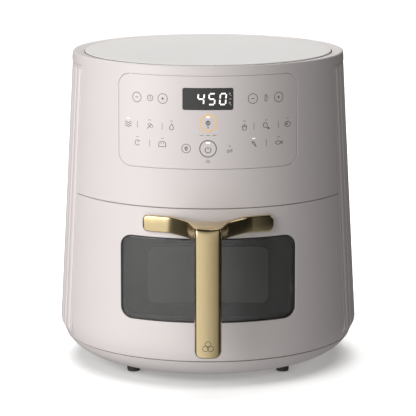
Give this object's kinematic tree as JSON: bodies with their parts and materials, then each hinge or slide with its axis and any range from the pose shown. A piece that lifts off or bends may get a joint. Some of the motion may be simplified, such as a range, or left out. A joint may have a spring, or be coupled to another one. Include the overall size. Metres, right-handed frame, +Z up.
{
  "type": "air fryer",
  "caption": "Round basket air fryer with fluted sides, touch panel, windowed drawer and T-shaped gold handle.",
  "frame": {"origin": "on the table, on the axis of the round body, midway between the four feet", "axes": "+Z up along the body's axis; -Y is the front, where the drawer, window, handle and touch panel are; +X is the right-hand side seen from the front"},
  "size_m": [0.3002, 0.3537, 0.313],
  "materials": {
    "housing": "satin moulded plastic, warm off-white",
    "lid": "fine-textured moulded plastic, off-white",
    "panel": "satin touch panel, warm off-white, with printed pictograms",
    "display": "smoked display window, glossy",
    "smoked_glass": "smoked curved safety glass, glossy",
    "clear_glass": "clear heat-proof glass",
    "gold": "brushed champagne-gold metal",
    "black_plastic": "black moulded plastic",
    "grey_plastic": "grey moulded plastic",
    "rubber": "soft black rubber",
    "silicone": "dark silicone",
    "sheet_steel": "aluminised sheet steel",
    "nonstick": "dark non-stick coating, satin",
    "heater_steel": "oxidised heater tube",
    "aluminium": "bare aluminium, satin",
    "steel": "bright steel",
    "lamination": "varnished steel laminations",
    "bronze": "sintered bronze",
    "circuit_board": "green circuit board",
    "component_black": "moulded electronic components"
  },
  "bodies": {
    "root": {"upper_housing": "housing", "top_cover": "lid", "control_panel": "panel", "display_window": "display", "display_module": "component_black", "control_board": "circuit_board", "touch_pads": "steel", "side_panel_right": "housing", "side_panel_left": "housing", "rear_cover": "housing", "cover_screws": "steel", "air_outlet_grille": "grey_plastic", "cord_gland": "rubber", "base_shell": "housing", "base_deck": "black_plastic", "feet": "rubber", "foot_screws": "steel", "cavity_liner": "sheet_steel", "front_frame": "black_plastic", "slide_rails": "steel", "lamp_lens": "clear_glass", "lamp_housing": "sheet_steel", "cavity_lamp": "component_black", "interlock_switch": "black_plastic", "heat_chamber": "sheet_steel", "heater_coil": "heater_steel", "heater_brackets": "sheet_steel", "heater_guard": "steel", "motor_deck": "black_plastic", "motor_housing": "sheet_steel", "motor_stator": "lamination", "motor_bearings": "bronze", "cooling_shroud": "black_plastic", "power_board": "circuit_board", "board_components": "component_black", "thermal_cutout": "steel", "temperature_sensor": "steel"},
    "drawer": {"drawer_front": "housing", "window_bezel": "black_plastic", "drawer_window": "smoked_glass", "window_retainer": "black_plastic", "drawer_back_panel": "black_plastic", "basket": "nonstick", "basket_mount": "black_plastic", "basket_window_gasket": "silicone", "basket_window": "clear_glass", "handle": "gold", "handle_screws": "steel"},
    "crisper": {"crisper_plate": "nonstick", "crisper_bumpers": "silicone"},
    "fan_rotor": {"motor_shaft": "steel", "motor_rotor": "lamination", "convection_fan": "aluminium", "cooling_fan": "black_plastic"},
    "plunger": {"interlock_plunger": "grey_plastic"}
  },
  "joints": [
    {"name": "drawer_slide", "type": "slide", "parent": "root", "child": "drawer", "axis": [0, -1, 0], "range_m": [0, 0.165]},
    {"name": "crisper_lift", "type": "slide", "parent": "drawer", "child": "crisper", "axis": [0, 0, 1], "range_m": [0, 0.1]},
    {"name": "fan_spin", "type": "hinge", "parent": "root", "child": "fan_rotor", "pos_m": [0, 0, 0.2], "axis": [0, 0, 1], "continuous": true},
    {"name": "interlock_press", "type": "slide", "parent": "root", "child": "plunger", "axis": [0, 1, 0], "range_m": [0, 0.0015], "stiffness_N_per_m": 300, "springref_m": -0.0005}
  ]
}
